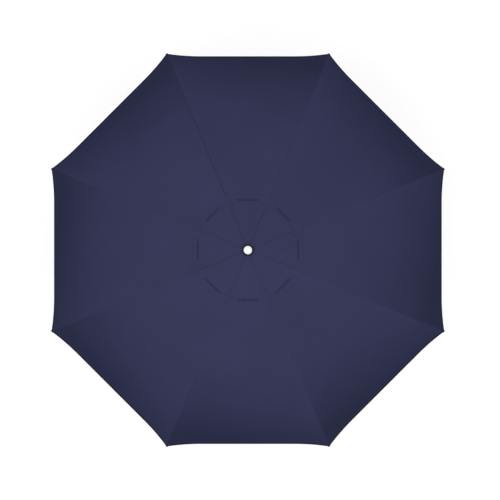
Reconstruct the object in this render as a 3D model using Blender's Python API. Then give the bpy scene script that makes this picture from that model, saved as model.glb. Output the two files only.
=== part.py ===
"""Patio umbrella with a crank lift, a tilting top and a round weighted base. Metres, +Z up.

The origin is on the floor under the pole. The umbrella stands open, with its eight ribs between the
row axes. A rib, the strut under it and its two hinge circles make an isosceles triangle, so a rib
that drops by an angle turns its strut back by twice that angle.
"""

import math

import bmesh
import bpy
from mathutils import Euler, Matrix

GAP = 0.0003                        # running gap between neighbouring parts

# Canopy and linkage
RIB_COUNT = 8
RIB_STEP = 2 * math.pi / RIB_COUNT
HALF_STEP = RIB_STEP / 2
HUB_Z = 2.42                        # height of the rib hinges
HINGE_RADIUS = 0.045                # hinge circle of the hub and of the runner
OPEN_SLOPE = math.radians(20)
LEVER = 0.62                        # rib hinge to strut pin, and strut pin to runner
PIN_DROP = 0.019                    # strut pin below the rib's centre line
LEVER_ANGLE = OPEN_SLOPE + math.asin(PIN_DROP / LEVER)
RUNNER_Z = HUB_Z - 2 * LEVER * math.sin(LEVER_ANGLE)
TIP_RADIUS = 1.335                  # canopy corner from the pole's axis

# Ribs and struts
RIB_LENGTH = 1.355
RIB_WIDTH = 0.012
RIB_HEIGHT = 0.018
RIB_WALL = 0.0012
RIB_START = 0.022
RIB_PLUG_END = 0.060
TONGUE_THICKNESS = 0.006
TONGUE_RADIUS = 0.007
PIN_RADIUS = 0.002
PIN_BORE = 0.0023
CHEEK_INNER = 0.0044
CHEEK_OUTER = 0.0058
STRUT_WIDTH = 0.008
STRUT_HEIGHT = 0.014
STRUT_WALL = 0.0012

# Hub and runner
WIRE_RADIUS = 0.0015
WIRE_BORE = 0.0019
HUB_RADIUS = 0.056
SLOT_INNER = 0.0365
HUB_SLOT_WIDTH = 0.0075
RUNNER_SLOT_WIDTH = 0.0095
RUNNER_BORE = 0.0225
RUNNER_SLEEVE = 0.030

# Cloth
CLOTH = 0.001
CLOTH_LIFT = 0.0108                 # cloth above a rib's centre line, square to the rib
PANEL_INNER_RADIUS = 0.325          # vent opening, measured along a rib
RIM_INSET = 0.016                   # how far the rim draws in between its corners
CAP_INNER_RADIUS = 0.0245
CAP_CORNER_RADIUS = 0.377
CAP_EDGE = 0.317                    # cap edge from the axis, half way between two corners
CAP_APEX_Z = HUB_Z + 0.027
CAP_BILLOW = 0.016                  # vent gap under the middle of the cap's edge
BALL_RADIUS = 0.027                 # finial

# Poles
POLE_RADIUS = 0.019
POLE_INNER = 0.0175
SPIGOT_RADIUS = 0.0172
POLE_BOTTOM = 0.0206
POLE_JOIN_Z = 0.80
SPIGOT_TOP_Z = 0.87
LOWER_POLE_INNER = 0.0155
SNAP_Z = 0.835

# Tilt joint
TILT_Z = 1.80
COLLAR_OFFSET = 0.030
COLLAR_HEIGHT = 0.030
PLUG_LENGTH = 0.030
CORD_X = -0.0025
CORD_Y = 0.0062

# Crank
CRANK_Z = 0.93
CRANK_REACH = 0.095
SHAFT_RADIUS = 0.005
DRUM_RADIUS = 0.01026
HOUSING_HALF_WIDTH = 0.034
HOUSING_HALF_HEIGHT = 0.045
HOUSING_FRONT = -0.052
HOUSING_BACK = 0.034
SCREW_X = 0.027

# Lift cord and pulley
CORD_RADIUS = 0.0015
PULLEY_Z = 2.36
PULLEY_X = 0.0103
PULLEY_CORD_RADIUS = 0.0165

# Base
PAD_RADIUS = 0.240
PAD_HEIGHT = 0.0057
PLATE_RADIUS = 0.25
PLATE_BOTTOM = 0.006
PLATE_TOP = 0.020
FLANGE_TOP = 0.0283
STEM_RADIUS = 0.0265
STEM_INNER = 0.0225
STEM_TOP = 0.42
CLAMP_Z = 0.30
BOLT_CIRCLE = 0.050
BOLT_COUNT = 4

SIDES = 24
FINE_SIDES = 40
PIN_SIDES = 8
BORE_SIDES = 10


def clear_scene():
    for old in list(bpy.data.objects):
        bpy.data.objects.remove(old, do_unlink=True)


def material(name, color, roughness, metallic=0.0):
    made = bpy.data.materials.new(name)
    made.use_nodes = True
    shader = made.node_tree.nodes["Principled BSDF"]
    shader.inputs["Base Color"].default_value = (*color, 1.0)
    shader.inputs["Roughness"].default_value = roughness
    shader.inputs["Metallic"].default_value = metallic
    made.diffuse_color = (*color, 1.0)
    return made


def white_metal(name):
    return material(name, (0.86, 0.86, 0.85), 0.35, 0.1)


def white_plastic(name):
    return material(name, (0.85, 0.85, 0.84), 0.45)


def dark_plastic(name):
    return material(name, (0.03, 0.032, 0.045), 0.5)


def bare_steel(name):
    return material(name, (0.62, 0.63, 0.64), 0.3, 0.9)


def cloth(name):
    return material(name, (0.040, 0.042, 0.10), 0.85)


# Meshes

def mesh_from(bm):
    bmesh.ops.recalc_face_normals(bm, faces=bm.faces)
    mesh = bpy.data.meshes.new("mesh")
    bm.to_mesh(mesh)
    bm.free()
    return mesh


def turned(outline, sides=SIDES, start=0.0):
    """A solid of revolution about Z. The outline is a closed loop of (radius, z)."""
    bm = bmesh.new()
    rings = []
    for radius, z in outline:
        if radius < 1e-6:
            rings.append([bm.verts.new((0, 0, z))] * sides)
            continue
        angles = [start + 2 * math.pi * i / sides for i in range(sides)]
        rings.append([bm.verts.new((radius * math.cos(a), radius * math.sin(a), z)) for a in angles])
    for index, ring in enumerate(rings):
        other = rings[(index + 1) % len(rings)]
        for i in range(sides):
            j = (i + 1) % sides
            corners = list(dict.fromkeys((ring[i], ring[j], other[j], other[i])))
            if len(corners) > 2:
                bm.faces.new(corners)
    return mesh_from(bm)


def tube(inner, outer, bottom, top, sides=SIDES):
    return turned([(inner, bottom), (outer, bottom), (outer, top), (inner, top)], sides)


def rod(radius, bottom, top, sides=12):
    return turned([(0, bottom), (radius, bottom), (radius, top), (0, top)], sides)


def block(low, high):
    bm = bmesh.new()
    bmesh.ops.create_cube(bm, size=1.0)
    for vert in bm.verts:
        for axis in range(3):
            vert.co[axis] = low[axis] if vert.co[axis] < 0 else high[axis]
    return mesh_from(bm)


def rounded_block(low, high, radius):
    bm = bmesh.new()
    bm.from_mesh(block(low, high))
    bmesh.ops.bevel(bm, geom=bm.edges[:], offset=radius, segments=2, affect="EDGES", profile=0.5)
    return mesh_from(bm)


def plate_xz(outline, y_low, y_high):
    """A flat plate: an outline of (x, z), with its thickness along Y."""
    bm = bmesh.new()
    near = [bm.verts.new((x, y_low, z)) for x, z in outline]
    far = [bm.verts.new((x, y_high, z)) for x, z in outline]
    bm.faces.new(near)
    bm.faces.new(far)
    for i in range(len(outline)):
        j = (i + 1) % len(outline)
        bm.faces.new((near[i], near[j], far[j], far[i]))
    return mesh_from(bm)


def arc(center, radius, start, end, steps):
    """Points on an arc, with angles in degrees."""
    angles = [math.radians(start + (end - start) * i / steps) for i in range(steps + 1)]
    return [(center[0] + radius * math.cos(a), center[1] + radius * math.sin(a)) for a in angles]


def placed(mesh, move=(0, 0, 0), turn=(0, 0, 0)):
    """The mesh after a turn about X, Y and Z in that order, and then a move."""
    mesh.transform(Matrix.Translation(move) @ Euler(turn).to_matrix().to_4x4())
    return mesh


def along_x(mesh, move=(0, 0, 0)):
    """Lays a piece made along Z out along X."""
    return placed(mesh, move, (0, math.pi / 2, 0))


def along_y(mesh, move=(0, 0, 0)):
    """Lays a piece made along Z out along Y."""
    return placed(mesh, move, (-math.pi / 2, 0, 0))


def joined(meshes):
    """Several meshes in one, with no union between them."""
    bm = bmesh.new()
    for mesh in meshes:
        bm.from_mesh(mesh)
    return mesh_from(bm)


def combined(base, other, operation):
    target = bpy.data.objects.new("target", base)
    tool = bpy.data.objects.new("tool", other)
    for helper in (target, tool):
        bpy.context.collection.objects.link(helper)
    boolean = target.modifiers.new("boolean", "BOOLEAN")
    boolean.operation = operation
    boolean.solver = "EXACT"
    boolean.object = tool
    depsgraph = bpy.context.evaluated_depsgraph_get()
    result = bpy.data.meshes.new_from_object(target.evaluated_get(depsgraph))
    for helper in (target, tool):
        bpy.data.objects.remove(helper, do_unlink=True)
    return result


def union(base, *others):
    for other in others:
        base = combined(base, other, "UNION")
    return base


def cut(base, *cutters):
    for cutter in cutters:
        base = combined(base, cutter, "DIFFERENCE")
    return base


def add(name, mesh, finish, location=(0, 0, 0), rotation=(0, 0, 0), smooth=40):
    shared = mesh.users > 0
    made = bpy.data.objects.new(name, mesh)
    bpy.context.collection.objects.link(made)
    made.location = location
    made.rotation_euler = rotation
    if not shared:
        mesh.materials.clear()
        mesh.materials.append(None)
        mesh.shade_smooth()
        mesh.set_sharp_from_angle(angle=math.radians(smooth))
    made.material_slots[0].link = "OBJECT"
    made.material_slots[0].material = finish
    return made


def wire(name, points, radius, finish, closed=False):
    curve = bpy.data.curves.new(name, "CURVE")
    curve.dimensions = "3D"
    curve.bevel_depth = radius
    curve.bevel_resolution = 1
    curve.render_resolution_u = 0
    curve.use_fill_caps = True
    spline = curve.splines.new("POLY")
    spline.points.add(len(points) - 1)
    for point, place in zip(spline.points, points):
        point.co = (*place, 1.0)
    spline.use_cyclic_u = closed
    curve.materials.append(finish)
    made = bpy.data.objects.new(name, curve)
    bpy.context.collection.objects.link(made)
    return made


# Base

def base_plate():
    edge = 0.004
    holes = joined([placed(rod(0.004, 0, 0.03, BORE_SIDES), bolt_place(i)) for i in range(BOLT_COUNT)])
    plate = turned([
        (0, PLATE_BOTTOM), (PLATE_RADIUS - edge, PLATE_BOTTOM), (PLATE_RADIUS, PLATE_BOTTOM + edge),
        (PLATE_RADIUS, PLATE_TOP - edge), (PLATE_RADIUS - edge, PLATE_TOP), (0, PLATE_TOP),
    ], FINE_SIDES)
    add("base_plate", cut(plate, holes), white_metal("base_plate_paint"))


def bolt_place(index):
    angle = math.radians(45) + 2 * math.pi * index / BOLT_COUNT
    return (BOLT_CIRCLE * math.cos(angle), BOLT_CIRCLE * math.sin(angle), 0)


def base_pad():
    add("base_pad", rod(PAD_RADIUS, 0, PAD_HEIGHT, FINE_SIDES),
        material("base_pad_rubber", (0.02, 0.02, 0.02), 0.9))


def base_stem():
    body = turned([
        (STEM_INNER, PLATE_TOP + GAP), (0.065, PLATE_TOP + GAP), (0.065, FLANGE_TOP - 0.002),
        (0.063, FLANGE_TOP), (STEM_RADIUS + 0.004, FLANGE_TOP), (STEM_RADIUS, FLANGE_TOP + 0.004),
        (STEM_RADIUS, STEM_TOP), (STEM_INNER, STEM_TOP),
    ])
    boss = along_x(rod(0.011, 0.0245, 0.040), (0, 0, CLAMP_Z))
    thread = along_x(rod(0.0052, 0.015, 0.050), (0, 0, CLAMP_Z))
    holes = joined([placed(rod(0.004, 0, 0.05, BORE_SIDES), bolt_place(i)) for i in range(BOLT_COUNT)])
    add("base_stem", cut(union(cut(body, holes), boss), thread), white_metal("base_stem_paint"))


def base_bolts():
    head = FLANGE_TOP + GAP
    mesh = turned([
        (0, 0.008), (0.0037, 0.008), (0.0037, head), (0.008, head),
        (0.008, head + 0.003), (0.005, head + 0.0055), (0, head + 0.006),
    ], PIN_SIDES)
    for index in range(BOLT_COUNT):
        add(f"base_bolt_{index + 1}", mesh, bare_steel(f"base_bolt_{index + 1}_steel"), bolt_place(index))


def stem_bush():
    add("stem_bush", turned([
        (0.0195, 0.36), (0.0222, 0.36), (0.0222, STEM_TOP + GAP), (STEM_RADIUS, STEM_TOP + GAP),
        (STEM_RADIUS, STEM_TOP + 0.005), (STEM_RADIUS - 0.0015, STEM_TOP + 0.0065),
        (0.0195, STEM_TOP + 0.0065),
    ]), dark_plastic("stem_bush_plastic"))


def clamp_screw():
    place = (0, 0, CLAMP_Z)
    add("clamp_stud", along_x(rod(0.0049, POLE_RADIUS + 2 * GAP, 0.060, 12)),
        bare_steel("clamp_stud_steel"), place)
    lobes = 6
    steps = 30
    angles = [2 * math.pi * i / steps for i in range(steps)]
    radii = [0.0215 + 0.0028 * math.cos(lobes * a) for a in angles]
    star = plate_xz([(r * math.cos(a), r * math.sin(a)) for r, a in zip(radii, angles)], -0.009, 0.009)
    grip = placed(star, (0.057, 0, 0), (0, 0, math.pi / 2))
    neck = along_x(rod(0.011, 0.0415, 0.052))
    bore = along_x(rod(0.0052, 0.030, 0.0605, 12))
    add("clamp_knob", cut(union(grip, neck), bore), dark_plastic("clamp_knob_plastic"), place)


# Poles

def snap_hole():
    return along_x(rod(0.0042, 0.010, 0.030, 12), (0, 0, SNAP_Z))


def lower_pole():
    body = turned([
        (LOWER_POLE_INNER, POLE_BOTTOM), (POLE_RADIUS, POLE_BOTTOM), (POLE_RADIUS, POLE_JOIN_Z - GAP),
        (SPIGOT_RADIUS, POLE_JOIN_Z - GAP), (SPIGOT_RADIUS, SPIGOT_TOP_Z),
        (LOWER_POLE_INNER, SPIGOT_TOP_Z),
    ])
    add("lower_pole", cut(body, snap_hole()), white_metal("lower_pole_paint"))


def mid_pole():
    top = TILT_Z - COLLAR_OFFSET - COLLAR_HEIGHT - GAP
    body = tube(POLE_INNER, POLE_RADIUS, POLE_JOIN_Z, top)
    shaft_hole = along_y(rod(0.0056, -0.03, 0.03, 12), (0, 0, CRANK_Z))
    add("mid_pole", cut(body, snap_hole(), shaft_hole), white_metal("mid_pole_paint"))


def snap_button():
    button = turned([(0, 0.0100), (0.0038, 0.0100), (0.0038, 0.0205), (0.0026, 0.0218), (0, 0.0218)], 12)
    add("snap_button", along_x(button), bare_steel("snap_button_steel"), (0, 0, SNAP_Z))


def top_pole():
    bottom = TILT_Z + COLLAR_OFFSET + COLLAR_HEIGHT + GAP
    body = tube(POLE_INNER, POLE_RADIUS, bottom, HUB_Z + 0.008)
    pulley_slot = block((0.004, -0.0042, PULLEY_Z - 0.0205), (0.030, 0.0042, PULLEY_Z + 0.0205))
    pin_holes = along_y(rod(PIN_BORE, -0.03, 0.03, 12), (PULLEY_X, 0, PULLEY_Z))
    add("top_pole", cut(body, pulley_slot, pin_holes), white_metal("top_pole_paint"))


# Tilt joint

def knuckle_cheek(x_low, x_high, radius, base_z):
    """A cheek about the tilt pin, as a plate in YZ that is round at the pin and square at its collar."""
    if base_z < 0:
        outline = [(-radius, base_z), (radius, base_z)] + arc((0, 0), radius, 0, 180, 6)
    else:
        outline = [(radius, base_z), (-radius, base_z)] + arc((0, 0), radius, 180, 360, 6)
    return placed(plate_xz(outline, x_low, x_high), (0, 0, 0), (0, 0, -math.pi / 2))


def tilt_knuckle(name, side, cheek_low, cheek_high, radius, extra_cutters):
    """One half of the tilt joint: side is -1 below the pin and 1 above it."""
    near = side * COLLAR_OFFSET
    far = side * (COLLAR_OFFSET + COLLAR_HEIGHT)
    end = side * (COLLAR_OFFSET + COLLAR_HEIGHT + PLUG_LENGTH)
    collar = turned([
        (0, near), (POLE_RADIUS, near), (POLE_RADIUS, far),
        (SPIGOT_RADIUS, far), (SPIGOT_RADIUS, end), (0, end),
    ])
    root = side * (COLLAR_OFFSET + 0.004)
    cheeks = [
        knuckle_cheek(cheek_low, cheek_high, radius, root),
        knuckle_cheek(-cheek_high, -cheek_low, radius, root),
    ]
    envelope = rod(POLE_RADIUS - 0.0002, -0.05, 0.05, SIDES)
    cheeks = [combined(cheek, envelope, "INTERSECT") for cheek in cheeks]
    cord_bore = placed(rod(0.003, -0.12, 0.12, 12), (CORD_X, CORD_Y, 0))
    pin_bore = along_x(rod(0.0034, -0.03, 0.03))
    body = cut(union(collar, *cheeks), cord_bore, pin_bore, *extra_cutters)
    add(name, body, white_plastic(name + "_plastic"), (0, 0, TILT_Z))


def button_height():
    return COLLAR_OFFSET + COLLAR_HEIGHT / 2


def tilt_joint():
    button_hole = along_y(rod(0.0063, -0.025, -0.008), (0, 0, button_height()))
    tilt_knuckle("tilt_knuckle_lower", -1, 0.0108, 0.0160, 0.0145, [])
    tilt_knuckle("tilt_knuckle_upper", 1, 0.0052, 0.0104, 0.0140, [button_hole])
    add("tilt_pin", along_x(rod(0.003, -0.0158, 0.0158)), bare_steel("tilt_pin_steel"), (0, 0, TILT_Z))
    button = turned([(0, -0.0215), (0.0045, -0.0215), (0.0060, -0.0203), (0.0060, -0.0105), (0, -0.0105)], 12)
    add("tilt_button", along_y(button), dark_plastic("tilt_button_plastic"),
        (0, 0, TILT_Z + button_height()))


# Crank

def crank_housing():
    low = (-HOUSING_HALF_WIDTH, HOUSING_FRONT, -HOUSING_HALF_HEIGHT)
    high = (HOUSING_HALF_WIDTH, HOUSING_BACK, HOUSING_HALF_HEIGHT)
    pole_bore = rod(POLE_RADIUS + GAP, -0.06, 0.06, SIDES)
    half = 0.1
    halves = {
        "crank_housing_front": (block((-half, -GAP / 2, -half), (half, half, half)), 0),
        "crank_housing_back": (block((-half, -half, -half), (half, GAP / 2, half)), 0.026),
    }
    for name, (away, bearing_end) in halves.items():
        body = cut(rounded_block(low, high, 0.009), away, pole_bore)
        shaft = along_y(rod(0.0055, -0.08, bearing_end), (0, 0, 0))
        screws = joined([screw_hole(x) for x in (-SCREW_X, SCREW_X)])
        add(name, cut(body, shaft, screws), white_plastic(name + "_plastic"), (0, 0, CRANK_Z))
    for index, x in enumerate((-SCREW_X, SCREW_X)):
        head = HOUSING_BACK - 0.0030
        screw = turned([
            (0, -0.020), (0.0018, -0.020), (0.0018, head),
            (0.0034, head), (0.0034, head + 0.0022), (0, head + 0.0022),
        ], PIN_SIDES)
        add(f"housing_screw_{index + 1}", along_y(screw), bare_steel(f"housing_screw_{index + 1}_steel"),
            (x, 0, CRANK_Z))


def screw_hole(x):
    head = HOUSING_BACK - 0.0033
    hole = turned([
        (0, -0.021), (0.0022, -0.021), (0.0022, head), (0.0038, head), (0.0038, 0.05), (0, 0.05),
    ], BORE_SIDES)
    return along_y(hole, (x, 0, 0))


def crank():
    flange = 0.0140
    shaft = turned([
        (0, -0.062), (SHAFT_RADIUS, -0.062), (SHAFT_RADIUS, -0.010), (flange, -0.010), (flange, -0.008),
        (DRUM_RADIUS, -0.008), (DRUM_RADIUS, 0.008), (flange, 0.008), (flange, 0.010),
        (SHAFT_RADIUS, 0.010), (SHAFT_RADIUS, 0.0255), (0, 0.0255),
    ], 16)
    add("crank_shaft", along_y(shaft), bare_steel("crank_shaft_steel"), (0, 0, CRANK_Z))
    half_width = 0.007
    outline = arc((0, 0), 0.009, 40, 140, 4) + arc((0, -CRANK_REACH), half_width, 180, 360, 6)
    bar = plate_xz(outline, -0.064, -0.058)
    boss = along_y(rod(0.009, -0.0645, -0.0525))
    axle = along_y(rod(0.004, -0.104, -0.060), (0, 0, -CRANK_REACH))
    bore = along_y(rod(SHAFT_RADIUS + GAP, -0.0625, -0.05), (0, 0, 0))
    add("crank_arm", cut(union(bar, boss, axle), bore), white_metal("crank_arm_paint"), (0, 0, CRANK_Z))
    knob = turned([
        (0.0043, -0.0645), (0.0095, -0.0645), (0.0120, -0.075), (0.0120, -0.098), (0.0100, -0.106),
        (0.0060, -0.109), (0, -0.110), (0, -0.1045), (0.0043, -0.1045),
    ], 16)
    add("crank_knob", along_y(knob), dark_plastic("crank_knob_plastic"), (0, 0, CRANK_Z - CRANK_REACH))


# Lift cord and pulley

def pulley():
    groove = PULLEY_CORD_RADIUS - CORD_RADIUS - GAP
    rim = PULLEY_CORD_RADIUS + 0.0004
    wheel = turned([
        (PIN_BORE, -0.0032), (rim, -0.0032), (rim, -0.0022), (groove, -0.0014), (groove, 0.0014),
        (rim, 0.0022), (rim, 0.0032), (PIN_BORE, 0.0032),
    ], 20)
    place = (PULLEY_X, 0, PULLEY_Z)
    add("pulley", along_y(wheel), white_plastic("pulley_plastic"), place)
    axle = along_y(rod(PIN_RADIUS, -0.0155, 0.0155, PIN_SIDES))
    add("pulley_pin", axle, bare_steel("pulley_pin_steel"), place)


def lift_cords():
    finish = material("cord_fibre", (0.75, 0.75, 0.73), 0.8)
    drum_x = -(DRUM_RADIUS + CORD_RADIUS + GAP)
    wire("lift_cord_lower", [
        (drum_x, 0.003, CRANK_Z), (drum_x, 0.003, CRANK_Z + 0.06), (-0.008, 0.004, 1.30),
        (CORD_X, CORD_Y, TILT_Z - 0.11), (CORD_X, CORD_Y, TILT_Z - 0.0035),
    ], CORD_RADIUS, finish)
    over = [
        (PULLEY_X + x, 0, PULLEY_Z + z)
        for x, z in arc((0, 0), PULLEY_CORD_RADIUS, 180, 0, 12)
    ]
    outer_x = PULLEY_X + PULLEY_CORD_RADIUS
    wire("lift_cord_upper", [
        (CORD_X, CORD_Y, TILT_Z + 0.0035), (CORD_X, CORD_Y, TILT_Z + 0.11),
        (PULLEY_X - PULLEY_CORD_RADIUS, 0, PULLEY_Z - 0.10), *over,
        (outer_x, 0, RUNNER_Z + 0.012 + GAP),
    ], CORD_RADIUS, finish)


# Hub and runner

def slots(width, low, high):
    boxes = [
        placed(block((SLOT_INNER, -width / 2, low), (0.08, width / 2, high)), (0, 0, 0), (0, 0, rib_angle(i)))
        for i in range(RIB_COUNT)
    ]
    return joined(boxes)


def hub():
    body = turned([
        (POLE_RADIUS + GAP, -0.034), (0.026, -0.034), (0.028, -0.032), (0.028, -0.016), (0.032, -0.013),
        (HUB_RADIUS - 0.002, -0.013), (HUB_RADIUS, -0.011), (HUB_RADIUS, 0.008), (HUB_RADIUS - 0.002, 0.010),
        (POLE_RADIUS + GAP, 0.010),
    ])
    flat = 1 / math.cos(HALF_STEP)
    half = WIRE_RADIUS + GAP
    groove = turned([
        ((HINGE_RADIUS - half) * flat, -half), ((HINGE_RADIUS + half) * flat, -half),
        ((HINGE_RADIUS + half) * flat, 0.02), ((HINGE_RADIUS - half) * flat, 0.02),
    ], RIB_COUNT)
    body = cut(body, slots(HUB_SLOT_WIDTH, -0.03, 0.03), groove)
    add("hub", body, white_plastic("hub_plastic"), (0, 0, HUB_Z))
    ring = [
        (HINGE_RADIUS * flat * math.cos(i * RIB_STEP), HINGE_RADIUS * flat * math.sin(i * RIB_STEP), HUB_Z)
        for i in range(RIB_COUNT)
    ]
    wire("hub_ring_wire", ring, WIRE_RADIUS, bare_steel("hub_ring_steel"), closed=True)


def hub_top():
    floor = 0.0103
    add("hub_cover", turned([
        (0, floor), (0.052, floor), (0.052, floor + 0.003), (0.0215, floor + 0.003), (0.0215, 0.0265),
        (0.006, 0.0265), (0.006, 0.0150), (0, 0.0150),
    ]), white_plastic("hub_cover_plastic"), (0, 0, HUB_Z))
    low = 0.0268
    seat = CAP_APEX_Z - HUB_Z + CLOTH + GAP
    add("vent_collar", turned([
        (0.006, low), (0.0235, low), (0.0235, seat), (0.0375, seat), (0.0375, seat + 0.005),
        (0.034, seat + 0.008), (0.006, seat + 0.008),
    ]), dark_plastic("vent_collar_plastic"), (0, 0, HUB_Z))
    foot = seat + 0.008 + GAP
    center = foot + 0.041
    ball = arc((0, center), BALL_RADIUS, -66, 90, 8)
    ball[-1] = (0, center + BALL_RADIUS)
    stud = 0.0165
    add("finial", turned([
        (0, stud), (0.0057, stud), (0.0057, foot), (0.024, foot), (0.024, foot + 0.003),
        (0.015, foot + 0.008), *ball,
    ]), white_plastic("finial_plastic"), (0, 0, HUB_Z))


def runner():
    top = 0.012
    body = turned([
        (RUNNER_BORE, -0.066), (0.034, -0.066), (0.034, -0.056), (RUNNER_SLEEVE, -0.054),
        (RUNNER_SLEEVE, -0.014), (0.034, -0.011), (HUB_RADIUS - 0.002, -0.011), (HUB_RADIUS, -0.009),
        (HUB_RADIUS, 0.009), (HUB_RADIUS - 0.002, 0.011), (RUNNER_SLEEVE, 0.011),
        (RUNNER_SLEEVE, top), (RUNNER_BORE, top),
    ])
    body = cut(body, slots(RUNNER_SLOT_WIDTH, -0.0125, 0.03))
    add("runner", body, white_plastic("runner_plastic"), (0, 0, RUNNER_Z))


# Ribs, struts and canopy

def rib_angle(index):
    return HALF_STEP + index * RIB_STEP


def around(index, radius, z):
    angle = rib_angle(index)
    return (radius * math.cos(angle), radius * math.sin(angle), z)


def rib_mesh():
    """A rib along +X from its hub hinge, as it lies before its slope is set."""
    half_w = RIB_WIDTH / 2
    half_h = RIB_HEIGHT / 2
    body = block((RIB_START, -half_w, -half_h), (RIB_LENGTH, half_w, half_h))
    hollow = block((RIB_PLUG_END, -half_w + RIB_WALL, -half_h + RIB_WALL),
                   (RIB_LENGTH + 0.01, half_w - RIB_WALL, half_h - RIB_WALL))
    half_t = TONGUE_THICKNESS / 2
    tongue = plate_xz([(0.035, -TONGUE_RADIUS), (0.035, TONGUE_RADIUS)]
                      + arc((0, 0), TONGUE_RADIUS, 90, 270, 6), -half_t, half_t)
    wire_bore = along_y(rod(WIRE_BORE, -0.01, 0.01, BORE_SIDES))
    pin_x = math.sqrt(LEVER ** 2 - PIN_DROP ** 2)
    pin = (pin_x, -PIN_DROP)
    outline = [(pin_x + 0.013, -0.0075), (pin_x - 0.013, -0.0075)] + arc(pin, 0.0065, 200, 340, 4)
    cheeks = [plate_xz(outline, low, high)
              for low, high in ((CHEEK_INNER, CHEEK_OUTER), (-CHEEK_OUTER, -CHEEK_INNER))]
    rivet = along_y(rod(PIN_RADIUS, -0.0052, 0.0052, PIN_SIDES), (pin_x, 0, -PIN_DROP))
    return cut(union(cut(body, hollow), tongue, *cheeks, rivet), wire_bore)


def strut_mesh():
    """A strut along +X from its pin under the rib: a channel that is open on its +Z side."""
    half_w = STRUT_WIDTH / 2
    half_h = STRUT_HEIGHT / 2
    outline = arc((0, 0), half_h, 90, 270, 6) + arc((LEVER, 0), half_h, -90, 90, 6)
    body = plate_xz(outline, -half_w, half_w)
    channel = block((0.025, -half_w + STRUT_WALL, -half_h + STRUT_WALL),
                    (LEVER - 0.025, half_w - STRUT_WALL, 0.02))
    bore = along_y(rod(PIN_BORE, -0.01, 0.01, BORE_SIDES))
    stub = along_y(rod(0.0025, -half_w - GAP, half_w + GAP, PIN_SIDES), (LEVER, 0, 0))
    return union(cut(body, channel, bore), stub)


def cloth_height(rib_radius):
    """Underside of the canopy over a rib."""
    drop = (rib_radius - HINGE_RADIUS) * math.tan(OPEN_SLOPE)
    return HUB_Z - drop + CLOTH_LIFT / math.cos(OPEN_SLOPE)


def chord_point(rib_radius, share, side, inset=0.0):
    """A point on the straight chord from a rib (share 0) to mid-panel (share 1)."""
    reach = rib_radius * math.cos(HALF_STEP)
    share = min(share, 1 - GAP / (rib_radius * math.sin(HALF_STEP)))
    x = rib_radius + share * (reach * math.cos(HALF_STEP) - rib_radius)
    y = share * reach * math.sin(HALF_STEP)
    x -= inset * math.cos(HALF_STEP)
    y -= inset * math.sin(HALF_STEP)
    return x, side * y


def closed_sheet(rows, thickness):
    """A sheet of the given thickness over rows of points on its underside."""
    bm = bmesh.new()
    layers = []
    for lift in (0.0, thickness):
        layers.append([[bm.verts.new((x, y, z + lift)) for x, y, z in row] for row in rows])
    last_row = len(rows) - 1
    last = len(rows[0]) - 1
    for layer in layers:
        for i in range(last_row):
            for j in range(last):
                bm.faces.new((layer[i][j], layer[i][j + 1], layer[i + 1][j + 1], layer[i + 1][j]))
    low, high = layers
    for i in range(last_row):
        for j in (0, last):
            bm.faces.new((low[i][j], low[i + 1][j], high[i + 1][j], high[i][j]))
    for j in range(last):
        for i in (0, last_row):
            bm.faces.new((low[i][j], low[i][j + 1], high[i][j + 1], high[i][j]))
    return mesh_from(bm)


def canopy_panel_mesh():
    """One rib-centred gore, from its hub hinge: half a panel on each side of the rib."""
    bands = 4
    shares = (0.0, 0.2, 0.4, 1.0)
    across = [(-1, s) for s in reversed(shares[1:])] + [(1, s) for s in shares]
    rows = []
    for band in range(bands + 1):
        radius = PANEL_INNER_RADIUS + (TIP_RADIUS - PANEL_INNER_RADIUS) * band / bands
        row = []
        for side, share in across:
            inset = RIM_INSET * min(share / 0.4, 1.0) if band == bands else 0.0
            x, y = chord_point(radius, share, side, inset)
            row.append((x - HINGE_RADIUS, y, cloth_height(radius) - HUB_Z))
        rows.append(row)
    return closed_sheet(rows, CLOTH / math.cos(OPEN_SLOPE))


def vent_cap():
    """The cap over the vent opening: eight gores that sit on the canopy at its corners."""
    thickness = CLOTH / math.cos(OPEN_SLOPE)
    corner_z = cloth_height(CAP_CORNER_RADIUS) + thickness + 2 * GAP
    # The canopy under the middle of the cap's edge lies on the chord of this rib radius.
    under_edge = CAP_EDGE / math.cos(HALF_STEP)
    edge_z = cloth_height(under_edge) + thickness + CAP_BILLOW
    bands = 3
    points = 2 * RIB_COUNT
    bm = bmesh.new()
    layers = []
    for lift in (0.0, thickness):
        rings = []
        for band in range(bands + 1):
            share = band / bands
            ring = []
            for i in range(points):
                on_rib = i % 2 == 1
                reach = CAP_CORNER_RADIUS if on_rib else CAP_EDGE
                low = corner_z if on_rib else edge_z
                radius = CAP_INNER_RADIUS + (reach - CAP_INNER_RADIUS) * share
                height = CAP_APEX_Z + (low - CAP_APEX_Z) * share + lift
                angle = i * HALF_STEP
                ring.append(bm.verts.new((radius * math.cos(angle), radius * math.sin(angle), height)))
            rings.append(ring)
        layers.append(rings)
    for i in range(points):
        j = (i + 1) % points
        for rings in layers:
            for inner, outer in zip(rings, rings[1:]):
                bm.faces.new((inner[i], inner[j], outer[j], outer[i]))
        for band in (0, bands):
            low, high = layers[0][band], layers[1][band]
            bm.faces.new((low[i], low[j], high[j], high[i]))
    add("vent_cap", mesh_from(bm), cloth("vent_cap_cloth"), smooth=60)


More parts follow.
